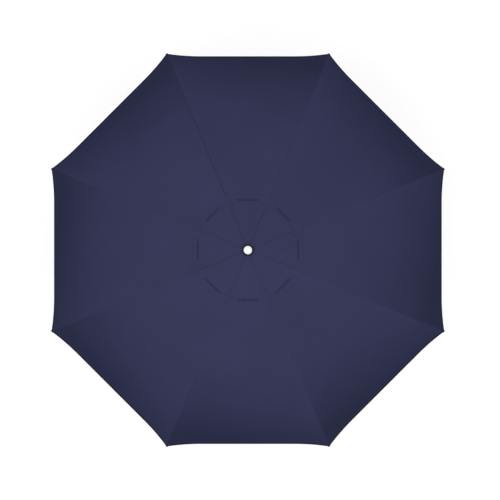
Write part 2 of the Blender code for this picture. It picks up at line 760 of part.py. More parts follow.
def rib_sets():
    rib = rib_mesh()
    strut = strut_mesh()
    panel = canopy_panel_mesh()
    pin_radius = HINGE_RADIUS + LEVER * math.cos(LEVER_ANGLE)
    pin_z = HUB_Z - LEVER * math.sin(LEVER_ANGLE)
    for index in range(RIB_COUNT):
        angle = rib_angle(index)
        hinge = around(index, HINGE_RADIUS, HUB_Z)
        number = index + 1
        add(f"rib_{number}", rib, white_metal(f"rib_{number}_paint"), hinge, (0, OPEN_SLOPE, angle))
        add(f"strut_{number}", strut, white_metal(f"strut_{number}_paint"),
            around(index, pin_radius, pin_z), (0, math.pi - LEVER_ANGLE, angle))
        add(f"canopy_panel_{number}", panel, cloth(f"canopy_panel_{number}_cloth"), hinge, (0, 0, angle))


clear_scene()
base_plate()
base_pad()
base_stem()
base_bolts()
stem_bush()
clamp_screw()
lower_pole()
mid_pole()
snap_button()
tilt_joint()
top_pole()
crank_housing()
crank()
pulley()
lift_cords()
hub()
hub_top()
runner()
rib_sets()
vent_cap()
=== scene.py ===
import math

import bmesh
import bpy
import numpy as np
from mathutils import Matrix, Vector, noise


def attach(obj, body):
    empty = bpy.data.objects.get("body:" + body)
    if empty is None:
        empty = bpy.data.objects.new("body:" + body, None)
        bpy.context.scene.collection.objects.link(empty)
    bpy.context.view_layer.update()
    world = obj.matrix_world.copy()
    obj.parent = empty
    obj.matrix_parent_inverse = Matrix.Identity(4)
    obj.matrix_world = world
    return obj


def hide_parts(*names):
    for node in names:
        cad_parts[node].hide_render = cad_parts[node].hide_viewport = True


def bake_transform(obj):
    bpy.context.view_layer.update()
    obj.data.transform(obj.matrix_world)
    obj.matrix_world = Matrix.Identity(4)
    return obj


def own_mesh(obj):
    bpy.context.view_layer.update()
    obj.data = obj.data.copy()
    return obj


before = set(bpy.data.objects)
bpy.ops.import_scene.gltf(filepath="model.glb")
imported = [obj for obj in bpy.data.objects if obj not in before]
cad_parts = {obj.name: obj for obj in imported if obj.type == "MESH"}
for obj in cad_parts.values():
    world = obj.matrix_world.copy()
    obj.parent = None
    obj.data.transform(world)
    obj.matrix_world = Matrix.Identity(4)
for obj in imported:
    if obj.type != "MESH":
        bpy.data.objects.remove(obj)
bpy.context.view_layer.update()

# Everything is in metres, in the row frame: the pole stands on the origin and +Z is up.

# The camera looks straight down and shows this width of the scene.
VIEW_WIDTH = 3.141
VIEW_CENTRE = (0.0132, 0.0006)
VIEW_HEIGHT = 9.0
FLOOR_Z = -0.0005

# The umbrella's sizes, as the CAD has them. Radii on the canopy are measured along a rib's plan.
RIB_COUNT = 8
RIB_STEP = 2 * math.pi / RIB_COUNT
HALF_STEP = RIB_STEP / 2
HUB_Z = 2.42
HINGE_RADIUS = 0.045
SLOPE = math.radians(20)
CLOTH_LIFT = 0.0108
TIP_RADIUS = 1.335
RIM_INSET = 0.016
VENT_RADIUS = 0.325
VENT_HEM = 0.377
CAP_APEX_Z = HUB_Z + 0.027
CAP_CORNER = 0.377
CAP_EDGE = 0.317
CAP_HOLE = 0.0245
CROWN_RADIUS = 0.0845
CAP_BILLOW = 0.0155
BALL_RADIUS = 0.027
CLOTH = 0.0009
RUNNER_Z = 1.96039

RANDOM_SEED = 7


# Camera, lights and floor

def make_camera():
    data = bpy.data.cameras.new("camera")
    data.type = "ORTHO"
    data.ortho_scale = VIEW_WIDTH
    data.clip_end = 100
    camera = bpy.data.objects.new("camera", data)
    bpy.context.collection.objects.link(camera)
    camera.location = (*VIEW_CENTRE, VIEW_HEIGHT)
    bpy.context.scene.camera = camera


def area_light(name, place, target, size, power, color=(1, 1, 1)):
    data = bpy.data.lights.new(name, "AREA")
    data.shape = "DISK"
    data.size = size
    data.energy = power
    data.color = color
    lamp = bpy.data.objects.new(name, data)
    bpy.context.collection.objects.link(lamp)
    lamp.location = place
    aim = Vector(target) - Vector(place)
    lamp.rotation_euler = aim.to_track_quat("-Z", "Y").to_euler()


def make_studio():
    world = bpy.data.worlds.new("studio")
    bpy.context.scene.world = world
    world.use_nodes = True
    sky = world.node_tree.nodes["Background"]
    sky.inputs["Color"].default_value = (1.0, 1.0, 1.0, 1)
    sky.inputs["Strength"].default_value = 0.70
    area_light("light_top", (0, 0, 7.5), (0, 0, 0), 5.0, 138)
    area_light("light_key", (-3.6, -4.6, 5.2), (0, 0, 1.5), 2.6, 38, (1.0, 0.985, 0.96))
    area_light("light_low", (3.5, -4.0, 1.0), (0, 0, 1.3), 2.0, 26)

    half = 70.0
    steps = 8
    marks = [-half + 2 * half * i / steps for i in range(steps + 1)]
    bm = bmesh.new()
    grid = [[bm.verts.new((x, y, FLOOR_Z)) for x in marks] for y in marks]
    for j in range(steps):
        for i in range(steps):
            bm.faces.new((grid[j][i], grid[j][i + 1], grid[j + 1][i + 1], grid[j + 1][i]))
    floor = object_from(bm, "floor")
    paint = Paint("floor_pale")
    cloudy = paint.noise(1.5, 3)
    paint.color(paint.mix(cloudy, (0.80, 0.80, 0.80), (0.84, 0.84, 0.84)))
    paint.set("Roughness", 0.9)
    paint.set("Emission Color", (1, 1, 1, 1))
    paint.set("Emission Strength", 0.42)
    floor.data.materials.append(paint.material)


# Node materials

class Paint:
    """A Principled material, with short words for the nodes that feed it."""

    def __init__(self, name):
        self.material = bpy.data.materials.new(name)
        self.material.use_nodes = True
        self.tree = self.material.node_tree
        self.shader = self.tree.nodes["Principled BSDF"]
        self.place = self.add("ShaderNodeTexCoord").outputs["Object"]

    def add(self, kind, inputs=None, **settings):
        node = self.tree.nodes.new(kind)
        for key, value in settings.items():
            setattr(node, key, value)
        for key, value in (inputs or {}).items():
            self.feed(node.inputs[key], value)
        return node

    def feed(self, socket, value):
        if isinstance(value, bpy.types.NodeSocket):
            self.tree.links.new(value, socket)
        elif isinstance(value, tuple) and socket.type == "RGBA" and len(value) == 3:
            socket.default_value = (*value, 1)
        else:
            socket.default_value = value

    def set(self, key, value):
        self.feed(self.shader.inputs[key], value)

    def color(self, value):
        self.set("Base Color", value)

    def math(self, operation, a, b=0.0):
        return self.add("ShaderNodeMath", {0: a, 1: b}, operation=operation).outputs[0]

    def ramp(self, value, low, high, to_low=0.0, to_high=1.0, smooth=True):
        kind = "SMOOTHSTEP" if smooth else "LINEAR"
        node = self.add("ShaderNodeMapRange", {
            "Value": value, "From Min": low, "From Max": high, "To Min": to_low, "To Max": to_high,
        }, interpolation_type=kind)
        return node.outputs["Result"]

    def mix(self, factor, a, b, blend="MIX"):
        node = self.add("ShaderNodeMix", data_type="RGBA", blend_type=blend)
        self.feed(node.inputs[0], factor)
        self.feed(node.inputs[6], a)
        self.feed(node.inputs[7], b)
        return node.outputs[2]

    def noise(self, scale, detail=2, where=None, rough=0.5):
        node = self.add("ShaderNodeTexNoise", {
            "Vector": where or self.place, "Scale": scale, "Detail": detail, "Roughness": rough,
        })
        return node.outputs[0]

    def wave(self, scale, where, direction="X"):
        settings = {"wave_type": "BANDS", "bands_direction": direction}
        return self.add("ShaderNodeTexWave", {"Vector": where, "Scale": scale}, **settings).outputs[1]

    def value(self, name):
        return self.add("ShaderNodeAttribute", attribute_name=name).outputs["Fac"]

    def join(self, x, y, z=0.0):
        return self.add("ShaderNodeCombineXYZ", {0: x, 1: y, 2: z}).outputs[0]

    def parts(self, vector=None):
        return self.add("ShaderNodeSeparateXYZ", {0: vector or self.place}).outputs

    def bump(self, height, depth, strength=1.0, over=None):
        inputs = {"Height": height, "Distance": depth, "Strength": strength}
        if over is not None:
            inputs["Normal"] = over
        return self.add("ShaderNodeBump", inputs).outputs["Normal"]


def powder_coat(name, color, roughness=0.36, peel=650.0):
    """Baked paint: fine orange peel, a faint cloudiness and duller patches from hands and weather."""
    paint = Paint(name)
    cloud = paint.noise(7.0, 4)
    dull = paint.noise(23.0, 3)
    specks = paint.ramp(paint.noise(420.0, 1), 0.70, 0.76)
    darker = tuple(c * 0.94 for c in color)
    grime = tuple(c * k for c, k in zip(color, (0.80, 0.78, 0.73)))
    base = paint.mix(paint.ramp(cloud, 0.35, 0.65), color, darker)
    paint.color(paint.mix(paint.math("MULTIPLY", specks, 0.25), base, grime))
    paint.set("Roughness", paint.ramp(dull, 0.3, 0.7, roughness - 0.05, roughness + 0.09))
    peeled = paint.bump(paint.noise(peel, 2), 0.00012, 0.55)
    paint.set("Normal", paint.bump(paint.noise(60.0, 1), 0.0003, 0.25, peeled))
    return paint.material


def moulded(name, color, roughness=0.42, grain=900.0, grain_depth=0.00008, coat=0.0, shade=0.93,
            specular=0.5):
    """Injection-moulded plastic: spark-eroded grain, faint flow marks and a roughness that wanders."""
    paint = Paint(name)
    flow = paint.noise(11.0, 3, rough=0.65)
    darker = tuple(c * shade for c in color)
    paint.color(paint.mix(paint.ramp(flow, 0.35, 0.7), color, darker))
    wander = paint.noise(35.0, 2)
    paint.set("Roughness", paint.ramp(wander, 0.3, 0.7, roughness - 0.05, roughness + 0.07))
    paint.set("Specular IOR Level", specular)
    paint.set("Coat Weight", coat)
    paint.set("Coat Roughness", 0.08)
    paint.set("Normal", paint.bump(paint.noise(grain, 1), grain_depth, 0.6))
    return paint.material


def bare_steel(name):
    paint = Paint(name)
    x, y, z = paint.parts()
    drawn = paint.join(paint.math("MULTIPLY", x, 6.0), y, paint.math("MULTIPLY", z, 0.4))
    streaks = paint.noise(260.0, 3, drawn)
    tarnish = paint.ramp(paint.noise(45.0, 4), 0.45, 0.75)
    paint.color(paint.mix(tarnish, (0.66, 0.67, 0.68), (0.47, 0.46, 0.44)))
    paint.set("Metallic", 1.0)
    paint.set("Roughness", paint.ramp(streaks, 0.3, 0.7, 0.24, 0.42))
    paint.set("Normal", paint.bump(streaks, 0.00005, 0.5))
    return paint.material


def rubber(name):
    paint = Paint(name)
    dust = paint.ramp(paint.noise(30.0, 5), 0.45, 0.8)
    paint.color(paint.mix(dust, (0.018, 0.018, 0.018), (0.055, 0.052, 0.048)))
    paint.set("Roughness", paint.ramp(dust, 0, 1, 0.78, 0.93))
    paint.set("Normal", paint.bump(paint.noise(380.0, 3), 0.0002, 0.7))
    return paint.material


def braid(name):
    """Braided polyester cord: two sets of strands that cross, with a fleck in one of them."""
    paint = Paint(name)
    x, y, z = paint.parts()
    around = paint.math("MULTIPLY", paint.math("ADD", x, y), 1.6)
    rising = paint.wave(170.0, paint.join(paint.math("ADD", z, around), 0.0))
    falling = paint.wave(170.0, paint.join(paint.math("SUBTRACT", z, around), 0.0))
    strands = paint.math("MAXIMUM", rising, falling)
    # Painted shade: the cord is darker between the strands, where the bump height sinks.
    shaded_strands = paint.mix(strands, (0.42, 0.42, 0.40), (0.78, 0.78, 0.75))
    fleck = paint.ramp(paint.wave(42.0, paint.join(paint.math("ADD", z, around), 0.0)), 0.86, 0.95)
    paint.color(paint.mix(fleck, shaded_strands, (0.10, 0.12, 0.25)))
    paint.set("Roughness", paint.ramp(strands, 0, 1, 0.9, 0.7))
    paint.set("Normal", paint.bump(strands, 0.0005, 0.9))
    return paint.material


WEAVE_PITCH = 0.0016

# One main seam shows darker than the others.
MARKED_SEAM = 3

STITCH_LENGTH = 0.0048
STITCH_COLOR = (0.055, 0.058, 0.125)
LINE_COLOR = (0.006, 0.0065, 0.018)
# The cloth's colour near the pole, and the darker colour of the painted shade towards the hem.
CLOTH_CENTRE = (0.0308, 0.0330, 0.0860)
CLOTH_HEM_PAINTED_SHADE = (0.0158, 0.0177, 0.0500)

# A wave texture of scale s repeats every pi / (10 s).
WAVE_TURN = math.pi / 10


def canopy_cloth(name, outer_hem, seam_depth, cap=False):
    """Solution-dyed canvas. cloth_across and cloth_along lie on the cloth in metres, cloth_rim is the way to
    its hem, and cloth_share runs from -1 to 1 across a gore, with 0 on its rib. outer_hem gives the stitch
    rows along the hem, and seam_depth how dark the seam on the rib shows."""
    paint = Paint(name)
    across = paint.value("cloth_across")
    along = paint.value("cloth_along")
    rim = paint.value("cloth_rim")
    share = paint.value("cloth_share")

    # Plain weave, slubs in the yarn, and pile lint.
    on_cloth = paint.join(across, along)
    warp = paint.wave(WAVE_TURN / (2 * WEAVE_PITCH), on_cloth, "X")
    weft = paint.wave(WAVE_TURN / (2 * WEAVE_PITCH), on_cloth, "Y")
    weave = paint.math("MULTIPLY", warp, weft)
    slubs = []
    for fine, coarse in ((900.0, 18.0), (18.0, 900.0)):
        stretched = paint.join(paint.math("MULTIPLY", across, fine), paint.math("MULTIPLY", along, coarse))
        slubs.append(paint.noise(1.0, 3, stretched))
    slubs = paint.math("ADD", *slubs)
    cloud = paint.noise(3.2, 4)
    lint = paint.ramp(paint.noise(210.0, 2), 0.66, 0.74)

    # Painted shade: the colour darkens towards the hem, and within each panel the darkening starts nearer the
    # pole at one side than the other, so every panel shades the same way round.
    panel = paint.math("SUBTRACT", share, paint.math("SIGN", share))
    reach = paint.math("MULTIPLY", along, math.cos(HALF_STEP))
    reach = paint.math("SUBTRACT", reach, paint.math("MULTIPLY", panel, 0.075))
    depth = paint.math("POWER", paint.ramp(reach, 0.50, 1.22, smooth=False), 2.6)
    body = paint.mix(depth, CLOTH_CENTRE, CLOTH_HEM_PAINTED_SHADE)

    # Seam on the rib, with a row of stitches on each side of it.
    off_seam = paint.math("ABSOLUTE", across)
    seam_line = paint.ramp(off_seam, 0.0008, 0.0030, seam_depth, 0.0)
    beats = {}
    for word, way in (("seam", along), ("hem", across)):
        beat = paint.wave(WAVE_TURN / (2 * STITCH_LENGTH), paint.join(way, 0.0), "X")
        beats[word] = paint.ramp(beat, 0.25, 0.45)
    rows = [(off_seam, 0.0055, "seam")] + [(rim, distance, "hem") for distance in outer_hem]
    if not cap:
        rows.append((along, VENT_HEM, "hem"))
    stitches = 0.0
    for measure, distance, word in rows:
        row = paint.math("ABSOLUTE", paint.math("SUBTRACT", measure, distance))
        stitched = paint.math("MULTIPLY", paint.ramp(row, 0.0003, 0.0009, 1.0, 0.0), beats[word])
        stitches = paint.math("MAXIMUM", stitches, stitched)
    edge_line = paint.ramp(rim, 0.005, 0.017, 0.72, 0.0)
    if cap:
        # Painted shadow: on the cap the dark edge line is made stronger towards mid-panel, where the lifted
        # edge would shade the canopy beneath it.
        middle = paint.ramp(paint.math("ABSOLUTE", share), 0.35, 0.65, 0.15, 1.0)
        edge_line = paint.math("MULTIPLY", edge_line, middle)
        seam_line = paint.math("MULTIPLY", seam_line, paint.ramp(rim, 0.035, 0.065, 0.1, 1.0))
    else:
        seam_line = paint.math("MAXIMUM", seam_line, paint.ramp(row, 0.0012, 0.0035, 0.3, 0.0))
    hem_row = paint.math("ABSOLUTE", paint.math("SUBTRACT", rim, outer_hem[0] + 0.002))
    hem_line = paint.ramp(hem_row, 0.001, 0.003, 0.25, 0.0)

    shade = paint.mix(paint.ramp(slubs, 0.75, 1.25), body, (0.8, 0.8, 0.8), "MULTIPLY")
    shade = paint.mix(0.28, body, shade)
    clouded = paint.mix(1.0, shade, (0.93, 0.93, 0.94), "MULTIPLY")
    shade = paint.mix(paint.ramp(cloud, 0.3, 0.7), shade, clouded)
    shade = paint.mix(paint.math("MULTIPLY", lint, 0.22), shade, (0.085, 0.088, 0.14))
    lines = paint.math("MAXIMUM", seam_line, paint.math("MAXIMUM", edge_line, hem_line))
    shade = paint.mix(paint.math("MULTIPLY", lines, 0.62), shade, LINE_COLOR)
    shade = paint.mix(paint.math("MULTIPLY", stitches, 0.4), shade, STITCH_COLOR)
    paint.color(shade)

    paint.set("Roughness", paint.ramp(slubs, 0.7, 1.3, 0.80, 0.94))
    paint.set("Specular IOR Level", 0.15)
    paint.set("Sheen Weight", 0.05)
    paint.set("Sheen Roughness", 0.45)
    fibre = paint.bump(weave, 0.0003, 0.45)
    fibre = paint.bump(slubs, 0.0004, 0.35, fibre)
    paint.set("Normal", paint.bump(stitches, 0.0006, 0.8, fibre))
    return paint.material


# Mesh helpers

def object_from(bm, name):
    bmesh.ops.recalc_face_normals(bm, faces=bm.faces)
    mesh = bpy.data.meshes.new(name)
    bm.to_mesh(mesh)
    bm.free()
    made = bpy.data.objects.new(name, mesh)
    bpy.context.collection.objects.link(made)
    return made


def finished(bm, name, material, body, crease=35.0):
    """Shades a mesh smoothly up to its creases and puts it on its body."""
    limit = math.radians(crease)
    for face in bm.faces:
        face.smooth = True
    for edge in bm.edges:
        if len(edge.link_faces) == 2 and edge.calc_face_angle(0.0) > limit:
            edge.smooth = False
    made = object_from(bm, name)
    made.data.materials.append(material)
    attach(made, body)
    return made


ON_AXIS = 1e-6


def revolve(bm, outline, sides, matrix=None, flutes=None):
    """Turns a closed outline of (radius, height) about Z. flutes is (count, depth, low, high)."""
    rings = []
    for radius, height in outline:
        if radius < ON_AXIS:
            rings.append([bm.verts.new((0, 0, height))])
            continue
        ring = []
        for i in range(sides):
            angle = 2 * math.pi * i / sides
            reach = radius
            if flutes and flutes[2] <= height <= flutes[3]:
                reach -= flutes[1] * (0.5 - 0.5 * math.cos(flutes[0] * angle)) ** 2
            ring.append(bm.verts.new((reach * math.cos(angle), reach * math.sin(angle), height)))
        rings.append(ring)
    for low, high in zip(rings, rings[1:] + rings[:1]):
        if len(low) == 1 and len(high) == 1:
            continue
        for i in range(sides):
            j = (i + 1) % sides
            corners = [low[i % len(low)], low[j % len(low)], high[j % len(high)], high[i % len(high)]]
            bm.faces.new(list(dict.fromkeys(corners)))
    if matrix is not None:
        bmesh.ops.transform(bm, matrix=matrix, verts=[v for ring in rings for v in ring])


def arc(centre, radius, start, end, steps):
    return [
        (centre[0] + radius * math.cos(math.radians(start + (end - start) * i / steps)),
         centre[1] + radius * math.sin(math.radians(start + (end - start) * i / steps)))
        for i in range(steps + 1)
    ]


def eased(outline, radius, steps=4):
    """Rounds the corners of a closed (radius, height) outline, wherever both sides are long enough."""
    points = []
    count = len(outline)
    for i in range(count):
        here = Vector(outline[i])
        before = Vector(outline[i - 1]) - here
        after = Vector(outline[(i + 1) % count]) - here
        on_axis = outline[i][0] < ON_AXIS
        reach = min(radius, before.length * 0.45, after.length * 0.45)
        if on_axis or reach < 1e-5:
            points.append(tuple(here))
            continue
        start = here + before.normalized() * reach
        end = here + after.normalized() * reach
        for step in range(steps + 1):
            t = step / steps
            point = start * (1 - t) ** 2 + here * 2 * t * (1 - t) + end * t ** 2
            points.append(tuple(point))
    return points


def along_x(place):
    return Matrix.Translation(place) @ Matrix.Rotation(math.pi / 2, 4, "Y")


def along_y(place):
    return Matrix.Translation(place) @ Matrix.Rotation(-math.pi / 2, 4, "X")


# The canopy as one surface

def rib_angle(index):
    return HALF_STEP + index * RIB_STEP


def smooth(t):
    t = np.clip(t, 0.0, 1.0)
    return t * t * (3 - 2 * t)


def cloth_height(radius):
    """The cloth's underside where it lies on a rib."""
    drop = (radius - HINGE_RADIUS) * math.tan(SLOPE)
    return HUB_Z - drop + CLOTH_LIFT / math.cos(SLOPE)


def gore_columns(strip, spread):
    """Columns from a rib to mid-panel, as a distance in metres and a share of what is left of the way."""
    return [(y, 0.0) for y in strip] + [(strip[-1], (i + 1) / spread) for i in range(spread)]


# A gore keeps its width this far beside its rib. The cap's strip is wider, because it lies outside.
SEAM_STEPS = (0.0, 0.0012, 0.0026, 0.0052, 0.0070, 0.0086, 0.0125, 0.0172, 0.0226)
CAP_SEAM_STEPS = (0.0, 0.0012, 0.0026, 0.0052, 0.0070, 0.0086, 0.0140, 0.0210, 0.0288)
STRIP_COLUMNS = len(SEAM_STEPS) - 1
MAIN_COLUMNS = gore_columns(SEAM_STEPS, 19)
CAP_COLUMNS = gore_columns(CAP_SEAM_STEPS, 11)
NARROW_CHORD = 0.030

# The rim draws in fully over this share of a half panel, and the nearer the rim the more.
CORNER_SHARE = 0.42
RIM_POWER = 5

# How deep a panel sags at the vent, and what half way and the rim add to it.
SAG_AT_VENT = 0.0030
SAG_HALF_WAY = 0.0095
SAG_AT_RIM = 0.004

# The vent cap stands this far over the canopy at its corners and bulges this much between hole and edge. The
# powers shape its hollowed edge, its lift towards mid-panel and how the lift grows outwards.
CAP_CLEARANCE = 0.0012
CAP_BULGE = 0.0035
CAP_HOLLOW_POWER = 3.2
CAP_LIFT_POWER = 1.4
CAP_GROWTH_POWER = 1.5

# Unevenness of the stretched cloth, which fades in over the first rows.
RIPPLE_SIZE = 0.16
RIPPLE_DEPTH = 0.0011
RIPPLE_ROWS = 6


def column_offset(column, half):
    """The distance from the rib along the chord, for a chord of that half length."""
    start, share = column
    start *= min(1.0, half / NARROW_CHORD)
    return start + (half - start) * share


def main_surface(radius, offset, half):
    """A point of the canopy's underside in a rib's frame: radius from the pole along the rib, offset along
    the chord towards mid-panel."""
    share = offset / half
    t = (radius - VENT_RADIUS) / (TIP_RADIUS - VENT_RADIUS)
    flare = 1 - (1 - min(share / CORNER_SHARE, 1.0)) ** 2
    pull = RIM_INSET * flare * max(t, 0.0) ** RIM_POWER
    x = radius - offset * math.sin(HALF_STEP) - pull * math.cos(HALF_STEP)
    y = offset * math.cos(HALF_STEP) - pull * math.sin(HALF_STEP)
    sag = SAG_AT_VENT + SAG_HALF_WAY * math.sin(math.pi * min(max(t, 0.0), 1.0)) + SAG_AT_RIM * t
    dip = sag * (1 - (1 - share) ** 2)
    z = cloth_height(radius) - dip + pull * math.tan(SLOPE)
    return x, y, z


def cap_surface(t, share, half):
    """A point of the vent cap's underside: t from 0 at its hole to 1 at its edge, share from 0 on the rib to
    1 at mid-panel, on a chord of that half length."""
    corner_z = cloth_height(CAP_CORNER) + CLOTH / math.cos(SLOPE) + CAP_CLEARANCE
    rib_radius = CAP_HOLE + (CAP_CORNER - CAP_HOLE) * t
    drawn_in = CAP_CORNER * math.cos(HALF_STEP) - CAP_EDGE
    curve = 1 - (1 - share) ** CAP_HOLLOW_POWER
    pull = drawn_in * curve * t ** 2
    offset = share * half
    x = rib_radius - offset * math.sin(HALF_STEP) - pull * math.cos(HALF_STEP)
    y = offset * math.cos(HALF_STEP) - pull * math.sin(HALF_STEP)
    slope_drop = (CAP_APEX_Z - corner_z) * t
    lift = (0.5 - 0.5 * math.cos(math.pi * share)) ** CAP_LIFT_POWER
    billow = CAP_BILLOW * lift * t ** CAP_GROWTH_POWER
    bulge = CAP_BULGE * math.sin(math.pi * t) * lift
    z = CAP_APEX_Z - slope_drop + billow + bulge
    return x, y, z


def ripple(point, size, amount):
    """A small seeded unevenness that is the same on both sides of a shared edge."""
    return amount * noise.noise(Vector(point) / size + Vector((RANDOM_SEED, 0.0, 0.0)))


def in_world(x, y, z, angle, side):
    y *= side
    return (x * math.cos(angle) - y * math.sin(angle), x * math.sin(angle) + y * math.cos(angle), z)


def whole_sheet(rows, columns, make_point, raise_top):
    """Makes the sheet all the way round, as grids of underside and top points with their shading directions.

    make_point(row, column) gives a local underside point, its share and its offset. raise_top gives how far
    the top stands over it. The columns run from each mid-panel over the rib to the next mid-panel."""
    around = [(-1, c) for c in reversed(columns[1:])] + [(1, c) for c in columns[:-1]]
    per_gore = len(around)
    low = np.zeros((len(rows), RIB_COUNT * per_gore, 3))
    facts = np.zeros((len(rows), per_gore + 1, 4))
    lift = np.zeros((len(rows), RIB_COUNT * per_gore))
    for r, row in enumerate(rows):
        for c, (side, column) in enumerate(around + [(1, columns[-1])]):
            x, y, z, offset, share, rim = make_point(row, column)
            facts[r, c] = (side * offset, row[0], rim, side * share)
            if c == per_gore:
                continue
            up = raise_top(row[0], offset, rim)
            for g in range(RIB_COUNT):
                low[r, g * per_gore + c] = in_world(x, y, z, rib_angle(g), side)
                lift[r, g * per_gore + c] = up
    for r in range(low.shape[0]):
        for c in range(low.shape[1]):
            x, y, z = low[r, c]
            low[r, c, 2] += ripple((x, y, 0.0), RIPPLE_SIZE, RIPPLE_DEPTH * min(1.0, r / RIPPLE_ROWS))
    normal = grid_normals(low)
    top = low + normal * (CLOTH + lift)[..., None]
    return low, top, -normal, grid_normals(top), facts, per_gore


def grid_normals(grid):
    across = np.roll(grid, -1, axis=1) - np.roll(grid, 1, axis=1)
    down = np.gradient(grid, axis=0)
    normal = np.cross(down, across)
    normal /= np.linalg.norm(normal, axis=2)[..., None]
    if normal[..., 2].mean() < 0:
        normal = -normal
    return normal


def gore_piece(name, sheet, index, first, last, material, span=None):
    """One rib's share of the sheet between two rows, as a closed thin solid that shades as part of the whole.
    span gives the first and last of the gore's columns, which are all taken without it."""
    low, top, low_normal, top_normal, facts, per_gore = sheet
    total = low.shape[1]
    span = span or (0, per_gore)
    columns = range(span[0], span[1] + 1)
    pick = [(index * per_gore + c) % total for c in columns]
    rows = range(first, last + 1)
    bm = bmesh.new()
    layers = []
    normals = []
    values = []
    for grid, directions in ((low, low_normal), (top, top_normal)):
        layer = []
        for r in rows:
            line = []
            for c, column in zip(columns, pick):
                line.append(bm.verts.new(grid[r, column]))
                normals.append(directions[r, column])
                values.append(facts[r, c])
            layer.append(line)
        layers.append(layer)
    height = len(layers[0])
    width = len(pick)
    sheet_faces = 0
    for layer, flip in ((layers[0], True), (layers[1], False)):
        for r in range(height - 1):
            for c in range(width - 1):
                corners = [layer[r][c], layer[r + 1][c], layer[r + 1][c + 1], layer[r][c + 1]]
                if flip:
                    corners.reverse()
                bm.faces.new(corners)
                sheet_faces += 1
    under, over = layers
    rim_loops = []
    for c in range(width - 1):
        rim_loops.append((under[0][c], under[0][c + 1], over[0][c + 1], over[0][c]))
        rim_loops.append((under[-1][c + 1], under[-1][c], over[-1][c], over[-1][c + 1]))
    for r in range(height - 1):
        rim_loops.append((under[r + 1][0], under[r][0], over[r][0], over[r + 1][0]))
        rim_loops.append((under[r][-1], under[r + 1][-1], over[r + 1][-1], over[r][-1]))
    for corners in rim_loops:
        for edge in bm.faces.new(corners).edges:
            edge.smooth = False
    for face in bm.faces:
        face.smooth = True
    mesh = bpy.data.meshes.new(name)
    bm.to_mesh(mesh)
    bm.free()
    for number, key in enumerate(("cloth_across", "cloth_along", "cloth_rim", "cloth_share")):
        layer = mesh.attributes.new(key, "FLOAT", "POINT")
        layer.data.foreach_set("value", np.array([v[number] for v in values], np.float32))
    shading = []
    for polygon in mesh.polygons:
        if polygon.index < sheet_faces:
            shading.extend(tuple(normals[v]) for v in polygon.vertices)
        else:
            shading.extend([tuple(polygon.normal)] * len(polygon.vertices))
    mesh.normals_split_custom_set(shading)
    mesh.materials.append(material)
    made = bpy.data.objects.new(name, mesh)
    bpy.context.collection.objects.link(made)
    return made


def main_rows():
    rows = [VENT_RADIUS, VENT_RADIUS + 0.0015, 0.335, 0.350, 0.365]
    rows += [0.3735, 0.3755, 0.377, 0.3785, 0.3805, 0.390]
    inner, outer = 0.405, TIP_RADIUS - 0.050
    rows += [inner + (outer - inner) * i / 44 for i in range(45)]
    hem = (0.042, 0.036, 0.031, 0.028, 0.026, 0.0245, 0.023, 0.0215, 0.016, 0.009, 0.004, 0.0015, 0.0)
    rows += [TIP_RADIUS - d for d in hem]
    return [(r,) for r in rows]


def main_point(row, column):
    radius = row[0]
    half = radius * math.sin(HALF_STEP)
    offset = column_offset(column, half)
    x, y, z = main_surface(radius, offset, half)
    rim = (TIP_RADIUS - radius) * math.cos(HALF_STEP)
    return x, y, z, offset, offset / half, rim


def bank(measure, end, width, height):
    """A step of that height, which falls to nothing over the width before its end."""
    return height * smooth((end - measure) / width)


def groove(measure, middle, half_width, depth):
    return depth * float(abs(measure - middle) < half_width)


def main_lift(radius, offset, rim):
    """Felled seam on the rib, doubled hems, the groove of each stitch row and the corner patch."""
    seam = bank(offset, 0.0088, 0.0024, 0.0008) - bank(offset, 0.0022, 0.0018, 0.0005)
    hem = bank(rim, 0.0262, 0.0030, 0.0008) - bank(rim, 0.0035, 0.0035, 0.0006)
    hem -= groove(rim, 0.0215, 0.0012, 0.0004)
    vent = bank(radius, 0.3795, 0.0030, 0.0006) - groove(radius, VENT_HEM, 0.0008, 0.0003)
    patch = bank(rim + 0.6 * offset, 0.070, 0.004, 0.0006) * bank(offset, 0.034, 0.004, 1.0)
    return max(seam, -0.0003) + hem + vent + patch


def cap_rows():
    reach = CAP_CORNER - CAP_HOLE
    marks = [CAP_HOLE, 0.030, 0.0345, 0.0375]
    marks += [0.041 + (CROWN_RADIUS - 0.041) * i / 11 for i in range(11)]
    marks += [CROWN_RADIUS + (0.345 - CROWN_RADIUS) * i / 24 for i in range(24)]
    marks += [0.345, 0.352, 0.3565, 0.359, 0.3605, 0.362, 0.366, 0.371, 0.3745, 0.376, CAP_CORNER]
    return [(m, (m - CAP_HOLE) / reach) for m in marks]


def cap_point(row, column):
    half = row[0] * math.sin(HALF_STEP)
    offset = column_offset(column, half)
    x, y, z = cap_surface(row[1], offset / half, half)
    rim = (CAP_CORNER - row[0]) * math.cos(HALF_STEP)
    return x, y, z, offset, offset / half, rim


def cap_lift(radius, offset, rim):
    """The same for the vent cap, whose seams narrow at its crown and which is tacked down at its corners."""
    near = min(1.0, radius / 0.06)
    seam = bank(offset, 0.0078 * near, 0.0024, 0.0008) - bank(offset, 0.0020, 0.0016, 0.0005)
    hem = bank(rim, 0.0175, 0.0030, 0.0007) - bank(rim, 0.003, 0.003, 0.0005)
    hem -= groove(rim, 0.0145, 0.0010, 0.0003)
    tack = bank(rim, 0.046, 0.003, 0.0007) * bank(offset, 0.013, 0.003, 1.0)
    return max(seam, -0.0002) + hem + tack


